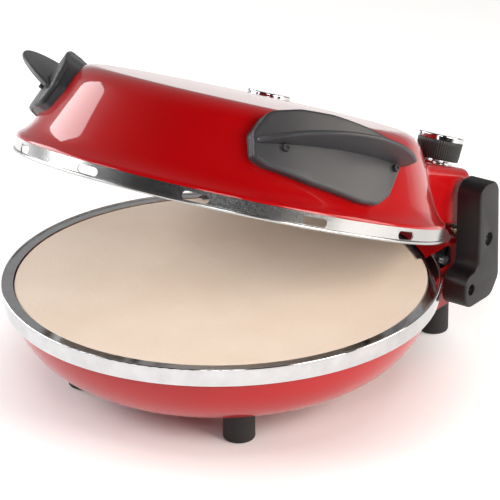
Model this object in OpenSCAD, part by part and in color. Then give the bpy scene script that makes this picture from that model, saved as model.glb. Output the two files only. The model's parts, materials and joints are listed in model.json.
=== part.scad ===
// Countertop pizza oven: a round red pan with a baking stone, and a domed lid
// hinged between two arms at the back. +Y is the back, +X the right, Z = 0 the table.

/* [Base] */
// Diameter of the round baking stone
stone_d = 310; // [300:1:314]
// Thickness of the baking stone
stone_t = 10; // [6:1:11]
// Height of the chrome ring's flat top above the table
ring_top = 82; // [82:0.5:84]
// Height of the front feet, from the table to the pan
foot_h = 19; // [18:0.5:19]
// Diameter of each foot
foot_d = 23.4; // [20:0.2:25]

/* [Lid] */
// Angle that the lid stands open at rest
lid_open = 21.65; // [5:0.05:45]
// Height of the dome above the lid's lower edge
dome_h = 74.4; // [74:0.1:76]
// Height of the steel band round the lid
band_h = 11.2; // [10.8:0.1:11.4]
// Number of vent slots on the half of the band that faces forward
slot_count = 7; // [5:1:9]

/* [Handles] */
// Angle of each handle forward of the oven's sides
handle_turn = 25; // [15:1:35]
// Angle that each handle leans back
handle_lean = 23; // [18:1:26]
// How far the finger visor stands out
visor_reach = 27; // [22:1:30]

/* [Controls] */
// Diameter of the control knobs
knob_d = 35.7; // [28:0.1:36]
// Height of a knob, with its chrome cap
knob_h = 19.4; // [14:0.1:22]
// Distance of each knob from the middle
knob_x = 82.5; // [78:0.5:84]

/* [Hidden] */
$fn = 96;

// The ring's centre stands this far in front of the origin, which is under the bounding box.
centre_y = -12.65;

// Pan
stone_r = stone_d / 2;
pan_r = 160;
pan_arc = 62;
pan_t = 1.6;
sheet = 1.2;
lip_top = ring_top - sheet;
pan_arc_z = foot_h + pan_arc;
pan_floor = foot_h + pan_t;
ring_in = stone_r + 0.6;
ring_out = 163.6;
bead_r = 1;
skirt_h = 12.5;
stone_top = ring_top - 0.6;
stone_bottom = stone_top - stone_t;

// Heating elements
tube_r = 3.25;
lead_r = 2.9;
lower_r = 104;
lower_z = 58;
reflector_z = 43;
upper_r = 100;
upper_z = 44;

// Hinge bracket and arms
half_w = 108;
bracket_back = 178;
bracket_bottom = 32;
wall = 1.6;
pivot_y = 161.5;
pivot_z = 88;
pin_r = 3;
arm_in = 113.5;
arm_out = 135;
screw_seat = 127;
arm_screw = [138, 53.6];
bar_y = 172;
bar_z = 70;
bar_w = 12;
bar_h = 14;
gland_x = -60;
gland_z = 50;
front_foot = [73.5, -76.8];
rear_foot = [88, 159];

// Lid, measured upward from its lower edge
lid_z = ring_top + 1.3;
pivot_up = pivot_z - lid_z;
brim_r = 162.4;
dome_foot = [155, 18];
dome_arc = 22;
wall_draft = 26;
dome_arc_z = dome_h - 1 - dome_arc;
dome_arc_r = dome_foot.x - (dome_arc_z - dome_foot.y) * tan(wall_draft) - dome_arc / cos(wall_draft);
shell = 1.5;
housing_w = 108.5;
housing_bottom = 10;
housing_top = 52.6;
housing_back = 165;
housing_round = 8;
ear_in = 102.9;
ear_out = 106.4;
knob_y = 146.7;
knob_gap = 2.8;
cap_h = 4.1;
knob_bottom = housing_top + knob_gap;
handle_r = 156.5;
handle_z = 35;

// ---------------------------------------------------------------- placing

module oven() { translate([0, centre_y, 0]) children(); }

module on_lid() {
    oven() translate([0, pivot_y, pivot_z]) rotate([-lid_open, 0, 0])
        translate([0, -pivot_y, -pivot_up]) children();
}

module both_sides() {
    children();
    mirror([1, 0, 0]) children();
}

module around(count, first = 0) {
    for (i = [0 : count - 1]) rotate([0, 0, first + i * 360 / count]) children();
}

// A profile drawn in Y and Z, made thick along X from x0 to x1.
module along_x(x0, x1) {
    translate([x0, 0, 0]) rotate([90, 0, 90]) linear_extrude(x1 - x0) children();
}

module rod_x(x0, x1, r) { translate([x0, 0, 0]) rotate([0, 90, 0]) cylinder(h = x1 - x0, r = r); }

module rounded_rect(x0, y0, x1, y1, r) {
    translate([x0 + r, y0]) square([x1 - x0 - 2 * r, y1 - y0]);
    translate([x0, y0 + r]) square([x1 - x0, y1 - y0 - 2 * r]);
    for (x = [x0 + r, x1 - r], y = [y0 + r, y1 - r]) translate([x, y]) circle(r);
}

// ---------------------------------------------------------------- base

module bowl_profile(inset, top) {
    intersection() {
        translate([0, foot_h + inset]) square([pan_r - inset, top - foot_h - inset]);
        union() {
            translate([0, foot_h]) square([pan_r - pan_arc, top]);
            translate([pan_r - pan_arc, pan_arc_z]) circle(pan_arc - inset);
        }
    }
}

module bowl_solid(inset, top) { rotate_extrude() bowl_profile(inset, top); }

module base_pan() {
    color("firebrick") oven() difference() {
        rotate_extrude() difference() {
            bowl_profile(0, lip_top);
            bowl_profile(pan_t, lip_top - sheet);
            translate([0, lip_top - 10]) square([ring_in + 0.1, 20]);
        }
        both_sides() translate([front_foot.x, front_foot.y, 0]) cylinder(h = pan_arc, r = 2.4);
    }
}

module trim_ring() {
    color("gainsboro") oven() difference() {
        rotate_extrude() {
            translate([ring_in, lip_top]) square([ring_out - ring_in, sheet]);
            translate([ring_out, ring_top - 0.1]) circle(bead_r);
            polygon([
                [ring_out - 1.2, ring_top - skirt_h], [ring_out - 0.2, ring_top - skirt_h],
                [ring_out + 0.8, ring_top], [ring_out - 0.4, ring_top]
            ]);
        }
        translate([-half_w - 0.3, 0, 0]) cube([2 * half_w + 0.6, 200, 100]);
    }
}

module pizza_stone() {
    edge = 1.5;
    color("navajowhite") oven() rotate_extrude() {
        translate([0, stone_bottom]) square([stone_r - edge, stone_t]);
        translate([0, stone_bottom + edge]) square([stone_r, stone_t - 2 * edge]);
        for (z = [stone_bottom + edge, stone_top - edge]) translate([stone_r - edge, z]) circle(edge);
    }
}

module stone_supports() {
    tab_t = 1.4;
    color("silver") oven() around(4, 45) rotate([0, 0, -8]) rotate_extrude(angle = 16) {
        translate([stone_r - 9, stone_bottom - tab_t]) square([pan_r - pan_t - stone_r + 7.8, tab_t]);
        translate([stone_r - 9, stone_bottom - 9]) square([tab_t, 9]);
    }
}

module stone_retainer() {
    color("dimgray") oven() rotate([0, 0, 46.6]) rotate_extrude(angle = 86.8)
        translate([stone_r - 4.5, stone_top + 0.1]) square([6.5, 0.8]);
}

// One open loop of heater tube with its gap at the back.
module element_loop(r, z) {
    gap = 15;
    rotate([0, 0, 90 + gap / 2]) rotate_extrude(angle = 360 - gap) translate([r, z]) circle(tube_r, $fn = 48);
}

// Where a straight lead leaves the loop, on each side of its gap.
module at_leads(r, z) {
    turn = 8.7;
    both_sides() translate([r * sin(turn), r * cos(turn), z]) children();
}

module tube_clip(r, z) {
    translate([r, 0, z]) rotate([90, 0, 0]) difference() {
        cylinder(h = 6, r = 5, center = true);
        cylinder(h = 7, r = tube_r + 0.2, center = true);
    }
}

module lower_element() {
    color("darkslategray") oven() {
        element_loop(lower_r, lower_z);
        at_leads(lower_r, lower_z) rotate([-90, 0, 0]) cylinder(h = 38, r = lead_r, $fn = 48);
    }
}

module lower_reflector() {
    color("silver") oven() rotate_extrude() {
        translate([0, reflector_z]) square([136, 1]);
        polygon([[135, reflector_z], [136, reflector_z], [141, reflector_z + 8], [140, reflector_z + 8]]);
    }
}

module reflector_posts() {
    color("gray") oven() around(3, 90) translate([90, 0, pan_floor])
        cylinder(h = reflector_z - pan_floor, r = 3);
}

module lower_element_clips() {
    color("gainsboro") oven() around(3, 30) {
        tube_clip(lower_r, lower_z);
        translate([lower_r, 0, reflector_z + 1]) cylinder(h = lower_z - reflector_z - 5.5, r = 3);
    }
}

module terminal_block() {
    color("ivory") oven() translate([-24, 141, lower_z - 7]) cube([48, 7, 14]);
}

module hinge_bracket() {
    front = 80;
    color("firebrick") oven() difference() {
        translate([-half_w, front, bracket_bottom])
            cube([2 * half_w, bracket_back - front, ring_top - bracket_bottom]);
        translate([-half_w + wall, front - 1, bracket_bottom - 1])
            cube([2 * (half_w - wall), bar_y - wall - front + 1, lip_top - bracket_bottom + 1]);
        translate([-half_w + wall, bar_y - wall - 1, bracket_bottom - 1])
            cube([2 * (half_w - wall), bracket_back - bar_y + 1, bar_z - wall - bracket_bottom + 1]);
        translate([-half_w - 1, bar_y - 0.3, bar_z - 0.3]) cube([2 * half_w + 2, 20, 40]);
        bowl_solid(-0.3, lip_top);
        cylinder(h = 200, r = stone_r + 2.3);
        for (side = [-1, 1]) translate([0, arm_screw.x, arm_screw.y]) rod_x(side * half_w - 5, side * half_w + 5, 2.7);
        translate([gland_x, bracket_back - 5, gland_z]) rotate([-90, 0, 0]) cylinder(h = 10, r = 7);
    }
}

module bracket_floor() {
    t = 2;
    inner = half_w - wall - 0.1;
    color("dimgray") oven() difference() {
        translate([-inner, 82, bracket_bottom]) cube([2 * inner, bracket_back - wall - 82.1, t]);
        bowl_solid(-0.4, lip_top);
        both_sides() translate([rear_foot.x, rear_foot.y, 0]) cylinder(h = 60, r = 2.4);
    }
}

module ring_end_tabs() {
    color("slategray") oven() both_sides() difference() {
        along_x(half_w, half_w + sheet) rounded_rect(124.5, 66, 148, 81.6, 4);
        translate([0, 138, 72]) rod_x(half_w - 1, half_w + 3, 2);
    }
}

module ring_tab_screws() {
    color("silver") oven() both_sides() translate([0, 138, 72]) difference() {
        union() {
            rod_x(half_w + 0.1, half_w + sheet, 1.9);
            rod_x(half_w + sheet, half_w + sheet + 2, 3.6);
        }
        translate([half_w + sheet + 1, -2.4, -0.4]) cube([2, 4.8, 0.8]);
        translate([half_w + sheet + 1, -0.4, -2.4]) cube([2, 0.8, 4.8]);
    }
}

module arm_outline(inset = 0) {
    offset(r = 11 - inset, $fn = 64) offset(delta = -11)
        offset(r = -8, $fn = 64) offset(delta = 8) polygon([
            [148, 134], [174.5, 134], [178, 52], [167, 38.5],
            [129.5, 38.5], [129.5, 65], [148, 67]
        ]);
}

module arm_cover() {
    cavity = 2.6;
    boss_r = 7;
    difference() {
        union() {
            difference() {
                along_x(arm_in, arm_out) arm_outline();
                along_x(arm_in - 1, arm_out - cavity) arm_outline(cavity);
            }
            for (place = [[pivot_y, pivot_z], arm_screw]) translate([0, place.x, place.y])
                rod_x(arm_in + 3.1, arm_out - 1, boss_r);
        }
        translate([0, pivot_y, pivot_z]) {
            rod_x(arm_in, arm_out, pin_r + 0.1);
            rod_x(screw_seat, arm_out + 1, 5.2);
        }
        translate([0, arm_screw.x, arm_screw.y]) {
            rod_x(arm_in, arm_out, 2.6);
            rod_x(screw_seat, arm_out + 1, 4.4);
        }
    }
}

module hinge_arm_right() { color("dimgray") oven() arm_cover(); }

module hinge_arm_left() { color("dimgray") oven() mirror([1, 0, 0]) arm_cover(); }

module arm_plates() {
    color("silver") oven() both_sides() difference() {
        along_x(arm_in, arm_in + 3) arm_outline(3);
        translate([0, pivot_y, pivot_z]) rod_x(arm_in - 1, arm_in + 4, pin_r + 0.05);
        translate([0, arm_screw.x, arm_screw.y]) rod_x(arm_in - 1, arm_in + 4, 2.6);
    }
}

module arm_screws() {
    color("silver") oven() both_sides() translate([0, arm_screw.x, arm_screw.y]) {
        rod_x(half_w - 5, screw_seat, 2.5);
        difference() {
            rod_x(screw_seat, screw_seat + 3.4, 4.1);
            translate([screw_seat + 2.2, -3, -0.5]) cube([3, 6, 1]);
        }
        difference() {
            rod_x(half_w + 0.1, arm_in - 0.1, 5);
            rod_x(half_w, arm_in, 2.4);
        }
    }
}

module hinge_bolts() {
    color("silver") oven() both_sides() translate([0, pivot_y, pivot_z]) {
        rod_x(102, screw_seat, pin_r);
        rod_x(101.2, 102.4, 4.8);
        difference() {
            rod_x(screw_seat, screw_seat + 4, 5);
            translate([screw_seat + 2, 0, 0]) rotate([0, 90, 0]) cylinder(h = 3, r = 2.6, $fn = 6);
        }
    }
}

module friction_washers() {
    color("gray") oven() both_sides() translate([0, pivot_y, pivot_z]) difference() {
        rod_x(half_w + 0.9, arm_in - 0.05, 4.9);
        rod_x(half_w, arm_in, pin_r + 0.05);
    }
}

module rear_crossbar() {
    color("dimgray") oven() difference() {
        along_x(-arm_in + 0.1, arm_in - 0.1) rounded_rect(bar_y, bar_z, bar_y + bar_w, bar_z + bar_h, 2.5);
        translate([-arm_in - 1, bar_y + bar_w - 2, bar_z + bar_h / 2 - 1]) cube([2 * arm_in + 2, 3, 2]);
    }
}

module cord_gland() {
    color("dimgray") oven() translate([gland_x, bracket_back, gland_z]) rotate([-90, 0, 0]) difference() {
        union() {
            translate([0, 0, -8]) cylinder(h = 12, r = 6.9);
            cylinder(h = 3, r = 10);
            translate([0, 0, -wall - 3]) cylinder(h = 3, r = 9);
        }
        translate([0, 0, -9]) cylinder(h = 20, r = 3.5);
    }
}

// A rubber foot whose lower edge is rounded, up to the height given.
module foot(height) {
    edge = 2;
    r = foot_d / 2;
    difference() {
        rotate_extrude() {
            square([r - edge, edge]);
            translate([0, edge]) square([r, height - edge]);
            intersection() {
                translate([r - edge, edge]) circle(edge);
                square([r, 2 * edge]);
            }
        }
        translate([0, 0, height - 14]) cylinder(h = 20, r = 2.4);
    }
}

module front_foot_right() {
    color("black") oven() difference() {
        translate([front_foot.x, front_foot.y, 0]) foot(foot_h + 5);
        bowl_solid(-0.02, lip_top);
    }
}

module front_foot_left() {
    color("black") oven() difference() {
        translate([-front_foot.x, front_foot.y, 0]) foot(foot_h + 5);
        bowl_solid(-0.02, lip_top);
    }
}

module rear_foot_right() { color("black") oven() translate([rear_foot.x, rear_foot.y, 0]) foot(bracket_bottom); }

module rear_foot_left() { color("black") oven() translate([-rear_foot.x, rear_foot.y, 0]) foot(bracket_bottom); }

module foot_screw(seat) {
    translate([0, 0, seat - 11]) cylinder(h = 11, r = 2.3);
    translate([0, 0, seat]) cylinder(h = 2.5, r = 4.5);
}

module foot_screws() {
    color("silver") oven() both_sides() {
        translate([front_foot.x, front_foot.y, 0]) foot_screw(pan_floor + 1.7);
        translate([rear_foot.x, rear_foot.y, 0]) foot_screw(bracket_bottom + 2);
    }
}

// ---------------------------------------------------------------- lid

module dome_profile(inset) {
    arc = dome_arc - inset;
    bottom = inset > 0 ? band_h - 1 : band_h;
    polygon([
        [0, bottom], [brim_r - inset, bottom], [brim_r - inset, band_h + 1.7 - inset / 2],
        [dome_foot.x - inset, dome_foot.y - inset / 2],
        [dome_arc_r + arc * cos(wall_draft), dome_arc_z + arc * sin(wall_draft)],
        [dome_arc_r, dome_h - 1 - inset], [0, dome_h - inset]
    ]);
    translate([dome_arc_r, dome_arc_z]) circle(arc);
}

module dome_solid(inset) { rotate_extrude() dome_profile(inset); }

// The box behind the dome that holds the controls, rounded on its upper and rear edges.
module housing_solid(inset, bottom) {
    x = housing_w - inset;
    back = housing_back - inset;
    top = housing_top - inset;
    r = housing_round - inset;
    intersection() {
        translate([0, 0, bottom]) linear_extrude(top - bottom) rounded_rect(-x, 60, x, back, r);
        translate([0, 200, 0]) rotate([90, 0, 0]) linear_extrude(180) rounded_rect(-x, -30, x, top, r);
        along_x(-housing_w, housing_w) rounded_rect(60, -30, back, top, r);
    }
}

module lid_cover() {
    color("firebrick") on_lid() difference() {
        union() {
            dome_solid(0);
            housing_solid(0, housing_bottom);
        }
        dome_solid(shell);
        housing_solid(shell, housing_bottom - 1);
        cylinder(h = band_h, r = brim_r + 0.1);
        both_sides() translate([knob_x, knob_y, 40]) cylinder(h = 20, r = 5);
    }
}

module slot_cutter() {
    long = 19;
    high = 6;
    rotate([90, 0, 90]) linear_extrude(20) {
        for (side = [-1, 1]) translate([side * (long - high) / 2, 0]) circle(high / 2);
        square([long - high, high], center = true);
    }
}

module lid_band() {
    color("silver") on_lid() difference() {
        rotate_extrude() {
            translate([brim_r - 0.4, 1.3]) circle(1.3);
            translate([brim_r - 1.8, 1.3]) square([1.2, band_h - 1.4]);
            translate([brim_r - 10.8, band_h - 1.1]) square([10.2, 1]);
        }
        for (i = [0 : slot_count - 1]) rotate([0, 0, -3 - i * 180 / (slot_count - 1)])
            translate([brim_r - 12, 0, band_h / 2 + 0.1]) slot_cutter();
    }
}

module lid_liner() {
    t = 1;
    rim = band_h - 2.2;
    color("lightgray") on_lid() difference() {
        rotate_extrude() polygon([
            [157, rim], [157, rim + t], [149.2, rim + t], [117.5, 57], [0, 60],
            [0, 60 - t], [117, 57 - t], [148.6, rim]
        ]);
        at_leads(upper_r, upper_z) cylinder(h = 40, r = 4);
    }
}

module upper_element() {
    color("darkslategray") on_lid() {
        element_loop(upper_r, upper_z);
        at_leads(upper_r, upper_z) cylinder(h = 24, r = lead_r, $fn = 48);
    }
}

module element_hangers() {
    color("gainsboro") on_lid() around(3, 30) {
        tube_clip(upper_r, upper_z);
        translate([upper_r, 0, upper_z + 4.5]) cylinder(h = 7.8, r = 2.5);
    }
}

module hinge_ears() {
    back = housing_back - housing_round - 0.2;
    color("silver") on_lid() both_sides() difference() {
        union() {
            translate([0, pivot_y, pivot_up]) rod_x(ear_in, ear_out, 5.2);
            along_x(ear_in, ear_out) polygon([
                [pivot_y, pivot_up - 5], [pivot_y, pivot_up + 5], [back, housing_bottom - 0.1],
                [back, 40], [back - 9, 40], [back - 9, housing_bottom - 1.5], [back - 3, pivot_up - 2]
            ]);
        }
        translate([0, pivot_y, pivot_up]) rod_x(ear_in - 1, ear_out + 1, 4.1);
    }
}

module hinge_bushes() {
    color("goldenrod") on_lid() both_sides() translate([0, pivot_y, pivot_up]) difference() {
        rod_x(ear_in - 0.1, ear_out + 0.4, 4.1);
        rod_x(ear_in - 1, ear_out + 1, pin_r + 0.15);
    }
}

// The frame of one handle: X along the lid's edge towards the back, Y up the slope, Z outward.
module handle_frame(turn = 0) {
    on_lid() rotate([0, 0, turn - handle_turn]) translate([handle_r, 0, handle_z])
        rotate([0, -handle_lean, 0]) rotate([90, 0, 90]) children();
}

// The cone round the lid's axis that the outer face of both handles lies on.
module handle_cone(inset) {
    low = 21;
    high = 52;
    on_lid() rotate_extrude() polygon([
        [0, handle_z - low], [handle_r - inset + low * tan(handle_lean), handle_z - low],
        [handle_r - inset - high * tan(handle_lean), handle_z + high], [0, handle_z + high]
    ]);
}

module handle_outline() {
    offset(r = 4, $fn = 48) offset(delta = -4) polygon([
        [-67.4, 12], [-67.9, 30.3], [-57.2, 46.2], [-35.4, 49.2], [-10.7, 48.1], [17.6, 44.3], [50.1, 38.4],
        [49.9, 21.3], [37.6, -1.8], [26.3, -10.4], [11.2, -10.9], [-27.6, -3.3], [-58.6, 6]
    ]);
}

// A thin blade whose outer edge is an arc, over the place where the fingers lift.
module handle_visor() {
    visor_r = 78;
    intersection() {
        translate([-80, 0, 0]) rotate([90, 0, 90]) linear_extrude(160) polygon([
            [22.6, -25], [23, 0], [25.2, visor_reach - 1.5], [26, visor_reach - 0.3],
            [27.2, visor_reach], [28.5, visor_reach - 1], [27.5, 0], [27.1, -25]
        ]);
        translate([1, 0, visor_reach - visor_r]) rotate([-90, 0, 0]) cylinder(h = 50, r = visor_r);
        translate([-67, 0, -25]) cube([126, 60, 60]);
    }
}

module handle_on_dome() {
    difference() {
        union() {
            intersection() {
                handle_frame() translate([0, 0, -38]) linear_extrude(42) handle_outline();
                handle_cone(0);
            }
            difference() {
                handle_frame() handle_visor();
                handle_cone(3);
            }
        }
        on_lid() dome_solid(-0.1);
    }
}

module handle_right() { color("dimgray") handle_on_dome(); }

module handle_left() { color("dimgray") mirror([1, 0, 0]) handle_on_dome(); }

module handle_screws() {
    color("silver") both_sides() for (turn = [-18.3, 16.5]) handle_frame(turn)
        translate([0, 16.6, 0.02]) difference() {
            cylinder(h = 3, r = 2.6);
            translate([0, 0, 2.2]) cylinder(h = 2, r = 1.3, $fn = 6);
        }
}

module housing_floor() {
    inner = housing_w - shell - 0.1;
    color("dimgray") on_lid() difference() {
        translate([0, 0, housing_bottom + 0.1]) linear_extrude(1.5)
            rounded_rect(-inner, 70, inner, housing_back - shell - 0.2, housing_round - shell);
        cylinder(h = 100, r = brim_r + 0.1);
        both_sides() translate([ear_in - 0.3, housing_back - 18, 0]) cube([20, 10, 60]);
    }
}

module control_box_place(side) { translate([side * knob_x, knob_y, 0]) children(); }

module thermostat_body() {
    color("ivory") on_lid() control_box_place(1) difference() {
        union() {
            translate([-12, -13, 30]) cube([24, 23, housing_top - shell - 30.1]);
            translate([-9, -10, 24]) cube([18, 20, 6]);
        }
        translate([0, 0, 38]) cylinder(h = 40, r = 3.3);
    }
}

module timer_body() {
    color("ivory") on_lid() control_box_place(-1) difference() {
        translate([0, 0, 30]) cylinder(h = housing_top - shell - 30.1, r = 10);
        translate([0, 0, 38]) cylinder(h = 40, r = 3.3);
    }
}

module timer_bell() {
    color("silver") on_lid() control_box_place(-1) rotate_extrude() difference() {
        translate([0, 20]) square([11, 9.9]);
        translate([2, 15]) square([8, 14]);
    }
}

module dial_plates() {
    color("gainsboro") on_lid() for (side = [-1, 1]) control_box_place(side)
        translate([0, 0, housing_top]) difference() {
            cylinder(h = 1, r = 13);
            translate([0, 0, -1]) cylinder(h = 4, r = 5);
            for (x = [-9, 9]) translate([x, 0, -1]) cylinder(h = 4, r = 1.6);
        }
}

module control_screws() {
    color("silver") on_lid() for (side = [-1, 1], x = [-9, 9]) control_box_place(side)
        translate([x, 0, housing_top]) difference() {
            union() {
                translate([0, 0, 0.02]) cylinder(h = 1, r = 1.5);
                translate([0, 0, 1]) cylinder(h = 1.1, r = 2.4);
            }
            translate([-2, -0.4, 1.5]) cube([4, 0.8, 1]);
        }
}

module knob_body(side) {
    r = knob_d / 2;
    h = knob_h - cap_h;
    on_lid() control_box_place(side) translate([0, 0, knob_bottom]) difference() {
        union() {
            cylinder(h = h, r = r - 0.6);
            translate([0, 0, 1]) cylinder(h = h - 2, r = r);
        }
        translate([0, 0, -1]) cylinder(h = h - 1, r = 3.05);
    }
}

module knob_cap(side) {
    r = knob_d / 2;
    on_lid() control_box_place(side) translate([0, 0, knob_bottom + knob_h - cap_h]) difference() {
        rotate_extrude() {
            square([r - 1, cap_h]);
            square([r, cap_h - 1]);
            translate([r - 1, cap_h - 1]) circle(1, $fn = 32);
        }
        translate([-0.8, 6, cap_h - 0.6]) cube([1.6, r - 9, 2]);
    }
}

module knob_shaft(side) {
    on_lid() control_box_place(side) translate([0, 0, 39]) cylinder(h = knob_bottom + 10 - 39, r = 3);
}

module thermostat_knob() { color("dimgray") knob_body(1); }

module thermostat_cap() { color("gainsboro") knob_cap(1); }

module thermostat_shaft() { color("gray") knob_shaft(1); }

module timer_knob() { color("dimgray") knob_body(-1); }

module timer_cap() { color("gainsboro") knob_cap(-1); }

module timer_shaft() { color("gray") knob_shaft(-1); }

base_pan();
trim_ring();
pizza_stone();
stone_supports();
stone_retainer();
lower_element();
lower_reflector();
reflector_posts();
lower_element_clips();
terminal_block();
hinge_bracket();
bracket_floor();
ring_end_tabs();
ring_tab_screws();
hinge_arm_right();
hinge_arm_left();
arm_plates();
arm_screws();
hinge_bolts();
friction_washers();
rear_crossbar();
cord_gland();
front_foot_right();
front_foot_left();
rear_foot_right();
rear_foot_left();
foot_screws();
lid_cover();
lid_band();
lid_liner();
upper_element();
element_hangers();
hinge_ears();
hinge_bushes();
handle_right();
handle_left();
handle_screws();
housing_floor();
thermostat_body();
timer_body();
timer_bell();
dial_plates();
control_screws();
thermostat_knob();
thermostat_cap();
thermostat_shaft();
timer_knob();
timer_cap();
timer_shaft();
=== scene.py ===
"""Looks of the countertop pizza oven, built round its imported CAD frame. Metres, +Z up, +Y back."""
import math

import bmesh
import bpy
import numpy as np
from mathutils import Matrix, Vector
from mathutils.geometry import tessellate_polygon
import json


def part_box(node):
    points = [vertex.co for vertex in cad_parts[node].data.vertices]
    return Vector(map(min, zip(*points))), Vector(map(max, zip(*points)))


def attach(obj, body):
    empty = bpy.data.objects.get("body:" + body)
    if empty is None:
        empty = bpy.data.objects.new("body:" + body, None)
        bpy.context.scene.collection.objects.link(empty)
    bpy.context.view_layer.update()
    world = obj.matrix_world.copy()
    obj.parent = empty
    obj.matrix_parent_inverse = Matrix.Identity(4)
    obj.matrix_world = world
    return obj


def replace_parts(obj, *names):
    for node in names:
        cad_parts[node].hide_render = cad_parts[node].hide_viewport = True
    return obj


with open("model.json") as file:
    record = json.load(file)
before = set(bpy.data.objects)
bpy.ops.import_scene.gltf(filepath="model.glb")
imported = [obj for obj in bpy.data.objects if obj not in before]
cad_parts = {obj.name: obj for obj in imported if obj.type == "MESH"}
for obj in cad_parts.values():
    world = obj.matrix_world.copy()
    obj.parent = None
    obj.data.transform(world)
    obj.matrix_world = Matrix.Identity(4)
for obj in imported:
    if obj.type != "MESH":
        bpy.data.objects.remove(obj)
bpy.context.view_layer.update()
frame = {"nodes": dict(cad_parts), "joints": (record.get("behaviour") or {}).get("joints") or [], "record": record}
MM = 0.001

# ------------------------------------------------------------------ places taken from the frame

stone_low, stone_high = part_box("pizza_stone")
RING_CENTRE = Vector((0.0, (stone_low.y + stone_high.y) / 2, stone_high.z + 0.6 * MM))
JOINTS = {joint["name"]: joint for joint in frame["joints"]}
PIVOT = Vector(JOINTS["lid_hinge"]["pos_m"])
LID_OPEN = math.radians(-JOINTS["lid_hinge"]["range_deg"][0])
LID_EDGE = RING_CENTRE.z + 1.3 * MM
FLOOR_GLOW = 0.36

# Closed-lid coordinates, with the origin on the ring's axis at the lid's lower edge, to the rest pose.
LID = (
    Matrix.Translation(PIVOT)
    @ Matrix.Rotation(-LID_OPEN, 4, "X")
    @ Matrix.Translation(Vector((0, RING_CENTRE.y - PIVOT.y, LID_EDGE - PIVOT.z)))
)


# ------------------------------------------------------------------ camera, lights and floor

def add_camera():
    azimuth, elevation, roll = math.radians(37.0), math.radians(23.35), -0.010
    back = Vector((
        math.sin(azimuth) * math.cos(elevation),
        -math.cos(azimuth) * math.cos(elevation),
        math.sin(elevation),
    ))
    right = Vector((math.cos(azimuth), math.sin(azimuth), 0))
    up = back.cross(right)
    target = RING_CENTRE + right * 0.0216 + up * 0.01775
    rolled_right = right * math.cos(roll) + up * math.sin(roll)
    rolled_up = up * math.cos(roll) - right * math.sin(roll)
    turn = Matrix((rolled_right, rolled_up, back)).transposed().to_4x4()
    data = bpy.data.cameras.new("camera")
    data.sensor_width = 36
    data.lens = 172.9
    data.clip_end = 20
    camera = bpy.data.objects.new("camera", data)
    camera.matrix_world = Matrix.Translation(target + back * 1.8) @ turn
    bpy.context.scene.collection.objects.link(camera)
    bpy.context.scene.camera = camera


def add_area_light(name, place, aim, size, power, colour=(1, 1, 1)):
    data = bpy.data.lights.new(name, "AREA")
    data.shape = "RECTANGLE"
    data.size, data.size_y = size
    data.energy = power
    data.color = colour
    light = bpy.data.objects.new(name, data)
    light.location = place
    light.rotation_euler = (Vector(aim) - Vector(place)).to_track_quat("-Z", "Y").to_euler()
    bpy.context.scene.collection.objects.link(light)


def studio_world():
    """A studio that is dark on the camera's side and white behind the oven."""
    world = bpy.data.worlds.new("studio")
    world.use_nodes = True
    tree = world.node_tree
    direction = tree.nodes.new("ShaderNodeTexCoord").outputs["Generated"]
    away = tree.nodes.new("ShaderNodeVectorMath")
    away.operation = "DOT_PRODUCT"
    away.inputs[1].default_value = (-0.74, 0.67, 0.0)
    tree.links.new(direction, away.inputs[0])
    ramp = tree.nodes.new("ShaderNodeMapRange")
    ramp.interpolation_type = "SMOOTHSTEP"
    for socket, number in (("From Min", -0.3), ("From Max", 0.9), ("To Min", 0.02), ("To Max", 0.34)):
        ramp.inputs[socket].default_value = number
    tree.links.new(away.outputs["Value"], ramp.inputs["Value"])
    tree.links.new(ramp.outputs["Result"], tree.nodes["Background"].inputs["Strength"])
    tree.nodes["Background"].inputs["Color"].default_value = (1, 1, 1, 1)
    bpy.context.scene.world = world


def add_stage():
    studio_world()
    aim = (0, 0, 0.12)
    add_area_light("left_panel", (-1.45, -0.42, 0.68), aim, (1.6, 0.8), 22)
    add_area_light("left_front", (-1.0, -1.4, 1.1), aim, (0.5, 0.5), 5)
    add_area_light("right_box", (1.5, 1.0, 0.75), aim, (0.9, 1.1), 17, (1.0, 0.93, 0.86))
    add_area_light("right_front", (1.75, -0.1, 0.9), aim, (0.8, 0.9), 24, (1.0, 0.93, 0.86))
    add_area_light("front_box", (1.0, -1.35, 1.3), aim, (0.7, 0.7), 11)
    mesh = bpy.data.meshes.new("floor")
    far = 6.0
    mesh.from_pydata([(-far, -far, 0), (far, -far, 0), (far, far, 0), (-far, far, 0)], [], [(0, 1, 2, 3)])
    floor = bpy.data.objects.new("floor", mesh)
    bpy.context.scene.collection.objects.link(floor)
    floor.data.materials.append(plain_floor())


# ------------------------------------------------------------------ materials

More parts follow.
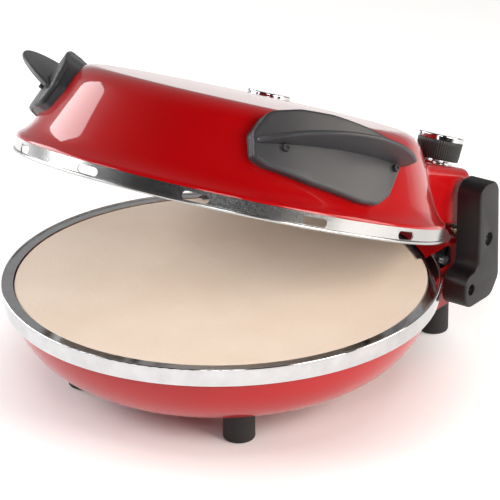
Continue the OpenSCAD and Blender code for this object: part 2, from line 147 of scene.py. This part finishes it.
class Shader:
    """A new material with a Principled shader and short ways to build its node graph."""

    def __init__(self, name, roughness, metallic=0.0, **sockets):
        self.material = bpy.data.materials.new(name)
        self.material.use_nodes = True
        self.tree = self.material.node_tree
        self.bsdf = self.tree.nodes["Principled BSDF"]
        self.bsdf.inputs["Roughness"].default_value = roughness
        self.bsdf.inputs["Metallic"].default_value = metallic
        for socket, value in sockets.items():
            self.bsdf.inputs[socket.replace("_", " ")].default_value = value
        self.place = self.node("ShaderNodeTexCoord").outputs["Object"]

    def node(self, kind, **settings):
        node = self.tree.nodes.new(kind)
        for key, value in settings.items():
            setattr(node, key, value)
        return node

    def link(self, output, socket):
        self.tree.links.new(output, socket)

    def stretched(self, scale):
        mapping = self.node("ShaderNodeMapping")
        mapping.inputs["Scale"].default_value = scale
        self.link(self.place, mapping.inputs["Vector"])
        return mapping.outputs["Vector"]

    def noise(self, scale, detail=3.0, roughness=0.55, vector=None):
        node = self.node("ShaderNodeTexNoise")
        node.inputs["Scale"].default_value = scale
        node.inputs["Detail"].default_value = detail
        node.inputs["Roughness"].default_value = roughness
        self.link(vector if vector is not None else self.place, node.inputs["Vector"])
        return node.outputs["Fac"]

    def ramp(self, factor, stops):
        node = self.node("ShaderNodeValToRGB")
        elements = node.color_ramp.elements
        while len(elements) < len(stops):
            elements.new(0.5)
        for element, (place, colour) in zip(elements, stops):
            element.position = place
            element.color = (*colour, 1) if len(colour) == 3 else colour
        self.link(factor, node.inputs["Fac"])
        return node.outputs["Color"]

    def range(self, value, low, high, start=0.0, end=1.0):
        node = self.node("ShaderNodeMapRange")
        for socket, number in (("From Min", start), ("From Max", end), ("To Min", low), ("To Max", high)):
            node.inputs[socket].default_value = number
        self.link(value, node.inputs["Value"])
        return node.outputs["Result"]

    def colour(self, output):
        self.link(output, self.bsdf.inputs["Base Color"])

    def roughness(self, output):
        self.link(output, self.bsdf.inputs["Roughness"])

    def bump(self, height, strength, distance):
        node = self.node("ShaderNodeBump")
        node.inputs["Strength"].default_value = strength
        node.inputs["Distance"].default_value = distance
        if self.bsdf.inputs["Normal"].is_linked:
            self.link(self.bsdf.inputs["Normal"].links[0].from_socket, node.inputs["Normal"])
        self.link(height, node.inputs["Height"])
        self.link(node.outputs["Normal"], self.bsdf.inputs["Normal"])


def plain_floor():
    """A white table that glows more and more away from the oven, so that it fades to pure white."""
    shader = Shader("pale_floor", 0.6, Specular_IOR_Level=0.2)
    distance = shader.node("ShaderNodeVectorMath", operation="DISTANCE")
    distance.inputs[1].default_value = (0, RING_CENTRE.y, 0)
    shader.link(shader.place, distance.inputs[0])
    glow = shader.range(distance.outputs["Value"], 0.0, FLOOR_GLOW, 0.13, 0.2)
    shader.link(glow, shader.bsdf.inputs["Emission Strength"])
    shader.bsdf.inputs["Emission Color"].default_value = (1, 1, 1, 1)
    shader.colour(shader.ramp(shader.noise(3.0, 2.0), [(0.3, (0.93, 0.93, 0.93)), (0.7, (0.95, 0.95, 0.95))]))
    return shader.material


def red_enamel():
    """Deep red baked enamel: a clear coat over a slightly uneven colour, with faint orange peel."""
    shader = Shader("red_enamel", 0.3, Coat_Weight=0.8, Coat_Roughness=0.03, Specular_IOR_Level=0.08)
    shader.colour(shader.ramp(shader.noise(9.0, 2.0), [(0.35, (0.37, 0.0010, 0.0022)), (0.65, (0.41, 0.0014, 0.0030))]))
    shader.roughness(shader.range(shader.noise(60.0, 3.0), 0.26, 0.36))
    shader.bump(shader.noise(420.0, 2.0), 0.035, 0.0004)
    return shader.material


def metal(name, colour, roughness, spread, grain=(1, 1, 1), scale=300.0, bump=0.05):
    """Bare metal whose fine grain runs along the axis with the smallest scale."""
    shader = Shader(name, roughness, 1.0)
    lines = shader.noise(scale, 4.0, 0.6, shader.stretched(grain))
    dark = tuple(c * 0.86 for c in colour)
    shader.colour(shader.ramp(lines, [(0.3, dark), (0.7, colour)]))
    shader.roughness(shader.range(lines, roughness - spread, roughness + spread, 0.3, 0.7))
    shader.bump(lines, bump, 0.0003)
    return shader.material


def plastic(name, colour, roughness, grain=900.0, bump=0.12):
    """Moulded plastic with a fine spark-eroded texture and slight shade changes."""
    shader = Shader(name, roughness, Specular_IOR_Level=0.45)
    lighter = tuple(c * 1.25 for c in colour)
    shader.colour(shader.ramp(shader.noise(24.0, 2.0), [(0.3, colour), (0.7, lighter)]))
    texture = shader.noise(grain, 3.0, 0.6)
    shader.roughness(shader.range(texture, roughness - 0.05, roughness + 0.07, 0.3, 0.7))
    shader.bump(texture, bump, 0.0002)
    return shader.material


def fired_stone():
    """Porous fired stone: a warm sand colour with speckles, pits and a faint cloudiness."""
    shader = Shader("fired_stone", 0.85, Specular_IOR_Level=0.25)
    cloud = shader.ramp(shader.noise(14.0, 4.0), [(0.3, (0.86, 0.71, 0.58)), (0.7, (0.93, 0.79, 0.67))])
    speck = shader.ramp(shader.noise(1500.0, 2.0, 0.7), [(0.36, (0.72, 0.55, 0.42)), (0.46, (1, 1, 1))])
    mix = shader.node("ShaderNodeMix", data_type="RGBA", blend_type="MULTIPLY")
    mix.inputs["Factor"].default_value = 0.45
    shader.link(cloud, mix.inputs["A"])
    shader.link(speck, mix.inputs["B"])
    shader.colour(mix.outputs["Result"])
    shader.bump(shader.noise(900.0, 4.0, 0.7), 0.25, 0.0006)
    return shader.material


MATERIALS = {
    "red_enamel": red_enamel(),
    "chrome": metal("chrome", (0.66, 0.66, 0.67), 0.09, 0.02, scale=60.0, bump=0.01),
    "dark_chrome": metal("dark_chrome", (0.20, 0.20, 0.22), 0.14, 0.04, scale=80.0, bump=0.02),
    "brushed_steel": metal("brushed_steel", (0.55, 0.55, 0.55), 0.22, 0.05, (1, 1, 0.03), 1400.0, 0.05),
    "screw_steel": metal("screw_steel", (0.52, 0.52, 0.53), 0.28, 0.06, scale=500.0),
    "stone": fired_stone(),
    "reflector": metal("reflector", (0.74, 0.74, 0.75), 0.30, 0.06, scale=200.0, bump=0.08),
    "heater_tube": metal("heater_tube", (0.10, 0.095, 0.09), 0.45, 0.10, scale=400.0, bump=0.15),
    "ceramic": plastic("ceramic", (0.62, 0.60, 0.55), 0.25, 300.0, 0.05),
    "black_steel": plastic("black_steel", (0.018, 0.018, 0.018), 0.40, 600.0, 0.10),
    "arm_plastic": plastic("arm_plastic", (0.006, 0.0055, 0.006), 0.42),
    "handle_plastic": plastic("handle_plastic", (0.036, 0.036, 0.040), 0.42),
    "knob_plastic": plastic("knob_plastic", (0.006, 0.006, 0.006), 0.38),
    "rubber_black": plastic("rubber_black", (0.010, 0.010, 0.010), 0.60, 500.0, 0.2),
    "bronze": metal("bronze", (0.60, 0.42, 0.18), 0.35, 0.08, scale=400.0),
}


def dress_cad_nodes():
    slots = {part["node"]: part["material_slot"] for part in frame["record"]["subparts"]}
    for name, node in frame["nodes"].items():
        node.data.materials.clear()
        node.data.materials.append(MATERIALS[slots[name]])


# ------------------------------------------------------------------ building meshes

def add_mesh(name, verts, faces, slot, body, place):
    """A smooth mesh from millimetre points, moved to its place, that rides on a CAD body."""
    mesh = bpy.data.meshes.new(name)
    points = [place @ Vector([float(c) * MM for c in v]) for v in verts]
    mesh.from_pydata(points, [], [tuple(map(int, f)) for f in faces])
    mesh.polygons.foreach_set("use_smooth", [True] * len(faces))
    mesh.set_sharp_from_angle(angle=math.radians(38))
    mesh.materials.append(MATERIALS[slot])
    piece = bpy.data.objects.new(name, mesh)
    bpy.context.scene.collection.objects.link(piece)
    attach(piece, body)
    return piece


def grid_faces(rows, columns, start=0, closed=True):
    """Quads between successive rings of points."""
    faces = []
    for row in range(rows - 1):
        for column in range(columns if closed else columns - 1):
            here, after = start + row * columns + column, start + row * columns + (column + 1) % columns
            faces.append((here, after, after + columns, here + columns))
    return faces


def smooth_loop(points, rounds=4):
    """Rounds a polygon by cutting its corners again and again."""
    loop = np.array(points, float)
    for _ in range(rounds):
        ahead = np.roll(loop, -1, axis=0)
        loop = np.stack((loop * 0.75 + ahead * 0.25, loop * 0.25 + ahead * 0.75), axis=1).reshape(-1, 2)
    return loop


def filleted(corners, steps=10):
    """A closed outline from (x, y, radius) corners."""
    loop = []
    for index, (x, y, radius) in enumerate(corners):
        here = Vector((x, y))
        before = (Vector(corners[index - 1][:2]) - here).normalized()
        after = (Vector(corners[(index + 1) % len(corners)][:2]) - here).normalized()
        half = before.angle(after) / 2
        centre = here + (before + after).normalized() * radius / math.sin(half)
        start, end = (here + side * radius / math.tan(half) - centre for side in (before, after))
        first = math.atan2(start.y, start.x)
        sweep = (math.atan2(end.y, end.x) - first + math.pi) % (2 * math.pi) - math.pi
        for step in range(steps + 1):
            angle = first + sweep * step / steps
            loop.append((centre.x + radius * math.cos(angle), centre.y + radius * math.sin(angle)))
    return np.array(loop)


def circle(x, y, radius, count=40):
    angles = np.arange(count) * 2 * math.pi / count
    return np.column_stack((x + radius * np.cos(angles), y + radius * np.sin(angles)))


def inset(loop, distance):
    """Moves a loop that runs anticlockwise inward."""
    ahead = np.roll(loop, -1, axis=0) - loop
    ahead /= np.linalg.norm(ahead, axis=1)[:, None]
    tangent = ahead + np.roll(ahead, 1, axis=0)
    tangent /= np.linalg.norm(tangent, axis=1)[:, None]
    stretch = np.clip((tangent * ahead).sum(1), 0.5, 1)
    return loop + np.column_stack((-tangent[:, 1], tangent[:, 0])) * (distance / stretch)[:, None]


def plate(outline, low, high, edge_low, edge_high, holes=(), steps=5):
    """Points and faces of a thick plate with rounded edges and through holes."""
    verts, faces, caps = [], [], ([], [])
    for number, loop in enumerate([outline, *(hole[::-1] for hole in holes)]):
        low_edge, high_edge = (edge_low, edge_high) if number == 0 else (0.3, 0.6)
        rings = []
        for step in range(steps + 1):
            angle = step * math.pi / 2 / steps
            rings.append((low_edge * (1 - math.sin(angle)), low + low_edge * (1 - math.cos(angle))))
        for step in range(steps, -1, -1):
            angle = step * math.pi / 2 / steps
            rings.append((high_edge * (1 - math.sin(angle)), high - high_edge * (1 - math.cos(angle))))
        start = len(verts)
        for distance, height in rings:
            verts.extend((x, y, height) for x, y in inset(loop, distance))
        faces.extend(grid_faces(len(rings), len(loop), start))
        caps[0].append(range(start, start + len(loop)))
        caps[1].append(range(len(verts) - len(loop), len(verts)))
    for loops, upward in zip(caps, (False, True)):
        order = [index for loop in loops for index in loop]
        for triangle in tessellate_polygon([[Vector(verts[index]) for index in loop] for loop in loops]):
            a, b, c = (Vector(verts[order[index]]) for index in triangle)
            rising = (b - a).cross(c - a).z > 0
            corners = [order[index] for index in triangle]
            faces.append(tuple(corners if rising == upward else corners[::-1]))
    return verts, faces


def lathe(profile, count=192):
    """Points and faces of a closed profile of (radius, height) turned round Z; radius 0 ends close it."""
    angles = np.arange(count) * 2 * math.pi / count
    verts, faces = [(0, 0, profile[0][1])], []
    for radius, height in profile[1:-1]:
        verts.extend(zip(radius * np.cos(angles), radius * np.sin(angles), [height] * count))
    verts.append((0, 0, profile[-1][1]))
    faces += [(0, 1 + (i + 1) % count, 1 + i) for i in range(count)]
    faces += grid_faces(len(profile) - 2, count, 1)
    last = len(verts) - 1
    faces += [(last, last - count + i, last - count + (i + 1) % count) for i in range(count)]
    return verts, faces


# ------------------------------------------------------------------ lid cover

WALL = math.radians(26)


def smaller(a, b, blend):
    """The smaller of two distances, with the crease between them filled smoothly."""
    near = np.clip(blend - np.abs(a - b), 0, None) / blend
    return np.minimum(a, b) - near * near * blend / 4


def rounded_corner(a, b, radius):
    """The larger of two distances, rounded where they meet."""
    u, v = np.clip(a + radius, 0, None), np.clip(b + radius, 0, None)
    return np.hypot(u, v) + np.minimum(np.maximum(a, b) + radius, 0) - radius


def dome_distance(radius, z):
    wall = (radius - 155) * math.cos(WALL) + (z - 18) * math.sin(WALL)
    crown = np.clip(1 - (radius / 116) ** 2, 0, None)
    top = z - 73.4 - crown
    arc = 22
    across, rise = radius - 114.2, z - 51.4 - crown
    corner = (across > 0) & (rise * math.cos(WALL) - across * math.sin(WALL) > 0)
    body = np.where(corner, np.hypot(across, rise), np.maximum(wall, top) + arc) - arc
    skirt = (radius - 155.6) * 0.56 + (z - 17.6) * 0.828
    brim = np.maximum(rounded_corner(skirt, radius - 162.4, 1.6), z - 24)
    return smaller(body, brim, 4.0)


def cover_distance(x, y, z):
    """Distance to the lid cover's outside in closed-lid millimetres, less than 0 inside."""
    sides = rounded_corner(np.abs(x) - 108.5, y - 165, 9)
    housing = np.maximum(rounded_corner(sides, z - 52.6, 8), 40 - y)
    return smaller(dome_distance(np.hypot(x, y), z), housing, 5.0)


def slope(points):
    """Unit vectors that point straight out of the cover."""
    step = 0.02
    parts = []
    for axis in np.eye(3) * step:
        up, down = points + axis, points - axis
        parts.append(cover_distance(*up.T) - cover_distance(*down.T))
    vectors = np.array(parts).T
    return vectors / np.linalg.norm(vectors, axis=1)[:, None]


def outer_contour(angle, count):
    """Points down the cover from its top to its lower edge, in one direction round the lid."""
    source = 14.0
    tilt = np.linspace(math.pi / 2, -0.022, 900)
    out, up = np.cos(tilt), np.sin(tilt)
    low, high = np.zeros_like(tilt), np.full_like(tilt, 230.0)
    for _ in range(26):
        middle = (low + high) / 2
        value = cover_distance(out * middle * math.cos(angle), out * middle * math.sin(angle), source + up * middle)
        low, high = np.where(value < 0, middle, low), np.where(value < 0, high, middle)
    radius, z = out * low, source + up * low
    reach = abs(108.5 / math.cos(angle)) if abs(math.cos(angle)) > 1e-6 else 999
    if math.sin(angle) > 0.05:
        reach = min(reach, 165 / math.sin(angle))
    floor = 10.0 if math.sin(angle) > 0.3 and reach > 163.5 else 11.2
    kept = z >= floor
    radius, z = np.append(radius[kept], radius[kept][-1]), np.append(z[kept], floor)
    turn = np.abs(np.gradient(np.unwrap(np.arctan2(np.gradient(z), np.gradient(radius)))))
    turn = np.nan_to_num(turn)
    weight = np.hypot(np.gradient(radius), np.gradient(z)) / 3.2 + np.minimum(turn, 0.5) * 9
    place = np.concatenate(([0], np.cumsum((weight[1:] + weight[:-1]) / 2)))
    wanted = np.linspace(0, place[-1], count)
    radius, z = np.interp(wanted, place, radius), np.interp(wanted, place, z)
    return np.column_stack((radius * math.cos(angle), radius * math.sin(angle), z))


def make_lid_cover():
    rows, corner, back = 84, math.degrees(math.atan2(165, 108.5)), []
    for middle, spread, number in ((corner, 9, 26), (180 - corner, 9, 26), (42, 8, 12), (138, 8, 12)):
        back.extend(np.linspace(middle - spread, middle + spread, number))
    degrees = np.unique(np.round(np.concatenate((np.arange(0, 360, 1.0), back)), 2))
    outside = np.array([outer_contour(math.radians(angle), rows)[1:] for angle in degrees])
    count, points = len(degrees), outside.transpose(1, 0, 2).reshape(-1, 3)
    inside = points - slope(points) * 1.3
    top, under = np.array([[0, 0, 74.4]]), np.array([[0, 0, 73.1]])
    verts = np.concatenate((top, points, under, inside))
    shift = 1 + len(points)
    outer = [(0, 1 + i, 1 + (i + 1) % count) for i in range(count)]
    outer += [face[::-1] for face in grid_faces(rows - 1, count, 1)]
    inner = [tuple(index + shift for index in reversed(face)) for face in outer]
    edge = 1 + (rows - 2) * count
    rim = []
    for i in range(count):
        here, after = edge + i, edge + (i + 1) % count
        rim.append((here, here + shift, after + shift, after))
    piece = add_mesh("lid_cover_skin", verts, outer + inner + rim, "red_enamel", "lid", place=LID)
    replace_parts(piece, "lid_cover")


# ------------------------------------------------------------------ handles, arms and knobs

HANDLE_TURN = math.radians(25)
HANDLE_LEAN = math.radians(23)
HANDLE_OUTLINE = filleted([
    (-67.4, 12, 6), (-58.6, 6, 10), (-27.6, -3.3, 30), (11.2, -10.9, 10), (26.3, -10.4, 9), (37.6, -1.8, 8),
    (49.9, 21.3, 8), (50.1, 38.4, 5), (17.6, 44.3, 30), (-10.7, 48.1, 30), (-35.4, 49.2, 24), (-57.2, 46.2, 12),
    (-67.9, 30.3, 9),
], steps=6)


def sliced(verts, faces, step=3.0):
    """Cuts a mesh into upright strips so that it can be bent."""
    work = bmesh.new()
    points = [work.verts.new(v) for v in verts]
    for face in faces:
        work.faces.new([points[index] for index in face])
    for s in np.arange(-66.2, 56, step):
        bmesh.ops.bisect_plane(
            work, geom=work.verts[:] + work.edges[:] + work.faces[:], plane_co=(s, 0, 0), plane_no=(1, 0, 0))
    work.verts.index_update()
    verts = [tuple(v.co) for v in work.verts]
    faces = [[v.index for v in face.verts] for face in work.faces]
    work.free()
    return verts, faces


def joined(*parts):
    """One list of points and one of faces from several."""
    verts, faces = [], []
    for part_verts, part_faces in parts:
        faces.extend([index + len(verts) for index in face] for face in part_faces)
        verts.extend(part_verts)
    return verts, faces


def mirrored(verts, faces):
    return [(-x, y, z) for x, y, z in verts], [list(face)[::-1] for face in faces]


def handle_point(along, up, out):
    """Closed-lid place of a right-handle point: along the lid's edge, up the slope, and outward."""
    radius = 156.5 + out * math.cos(HANDLE_LEAN) - up * math.sin(HANDLE_LEAN)
    height = 35 + out * math.sin(HANDLE_LEAN) + up * math.cos(HANDLE_LEAN)
    turn_sin, turn_cos = math.sin(HANDLE_TURN), math.cos(HANDLE_TURN)
    return radius * turn_cos + along * turn_sin, along * turn_cos - radius * turn_sin, height


def cone_out(along, up):
    """How far out the cone that the handle's outer face follows lies at one place."""
    near, far = 4.0, -30.0
    for _ in range(22):
        middle = (near + far) / 2
        x, y, z = handle_point(along, up, middle)
        inside = math.hypot(x, y) < 156.5 - (z - 35) * math.tan(HANDLE_LEAN)
        near, far = (near, middle) if inside else (middle, far)
    return near


def dome_depth(along, up):
    """How far out the handle meets the dome behind one point of its outline."""
    near, far = -2.0, -40.0
    for _ in range(22):
        middle = (near + far) / 2
        x, y, z = handle_point(along, up, middle)
        inside = dome_distance(np.array([math.hypot(x, y)]), np.array([z]))[0] < -0.5
        near, far = (near, middle) if inside else (middle, far)
    return far


def handle_body():
    """The body that hugs the dome: a rounded outer face that follows the cone, and sides down to the dome."""
    front, front_faces = plate(HANDLE_OUTLINE, -3.6, 0, 0.3, 2.0, steps=5)
    back, back_faces = plate(inset(HANDLE_OUTLINE, 0.9), -9, -3.4, 0.01, 0.01, steps=1)
    front, front_faces = sliced(front, front_faces)
    back, back_faces = sliced(back, back_faces)
    front = [(s, h, o + cone_out(s, h)) for s, h, o in front]
    back = [(s, h, o + cone_out(s, h) if o > -6 else dome_depth(s, h)) for s, h, o in back]
    return joined((front, front_faces), (back, back_faces))


def handle_visor():
    """The finger visor: a thin blade with an arc for its outer edge and a rounded rim."""
    angles = np.radians(np.linspace(40.5, 153.5, 60))
    rim = [(-0.2 + 74 * math.cos(angle), -45.2 + 74 * math.sin(angle)) for angle in angles]
    root = [(s, cone_out(s, 25) - 2.5) for s in np.linspace(-65.5, 54, 26)]
    verts, faces = plate(smooth_loop(root + rim, 2), -2.2, 2.2, 1.3, 1.9, steps=4)
    bent = [(s, 25.2 + 0.065 * o + t * (1 - 0.012 * max(o, 0)), o) for s, o, t in verts]
    return bent, [list(face)[::-1] for face in faces]


def make_handles():
    verts, faces = joined(handle_body(), handle_visor())
    verts = [handle_point(*v) for v in verts]
    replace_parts(add_mesh("handle_right_skin", verts, faces, "handle_plastic", "lid", place=LID), "handle_right")
    verts, faces = mirrored(verts, faces)
    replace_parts(add_mesh("handle_left_skin", verts, faces, "handle_plastic", "lid", place=LID), "handle_left")


def make_hinge_arms():
    """The two arms: moulded covers with a rounded outer edge and sunk screw holes."""
    outline = filleted([
        (148, 67, 8), (129.5, 65, 11), (129.5, 38.5, 11), (167, 38.5, 11), (178, 52, 11), (174.5, 134, 11),
        (148, 134, 11),
    ])
    low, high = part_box("hinge_arm_right")
    holes = [circle(161.5, PIVOT.z / MM, 5.2), circle(138, 53.6, 4.4)]
    points, faces = plate(outline, low.x / MM + 0.3, high.x / MM, 0.4, 1.8, holes)
    verts = [(x, y, z) for y, z, x in points]
    base = Matrix.Translation((0, RING_CENTRE.y, 0))
    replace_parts(add_mesh("hinge_arm_right_skin", verts, faces, "arm_plastic", "base", place=base), "hinge_arm_right")
    verts, faces = mirrored(verts, faces)
    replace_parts(add_mesh("hinge_arm_left_skin", verts, faces, "arm_plastic", "base", place=base), "hinge_arm_left")


def make_knobs():
    """Knob bodies with fine upright ribs, slightly wider under the chrome cap."""
    profile = [
        (0, 0), (14.5, 0), (16.3, 0.1), (16.7, 0.5), (16.8, 1.1), (17.1, 4), (17.3, 8), (17.5, 12), (17.6, 14.7),
        (17.3, 15.3), (0, 15.3),
    ]
    verts, faces = lathe(profile, 480)
    ribbed = []
    for x, y, z in verts:
        scale = 1 - 0.016 * (1 + math.cos(60 * math.atan2(y, x))) / 2 if math.hypot(x, y) > 16.5 else 1
        ribbed.append((x * scale, y * scale, z))
    for name in ("thermostat", "timer"):
        place = Matrix.Translation(Vector(JOINTS[name + "_turn"]["pos_m"])) @ Matrix.Rotation(-LID_OPEN, 4, "X")
        piece = add_mesh(name + "_knob_skin", ribbed, faces, "knob_plastic", name, place=place)
        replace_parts(piece, name + "_knob")


# ------------------------------------------------------------------ making it

bpy.context.scene.view_settings.view_transform = "Standard"
dress_cad_nodes()
make_lid_cover()
make_handles()
make_hinge_arms()
make_knobs()
add_camera()
add_stage()
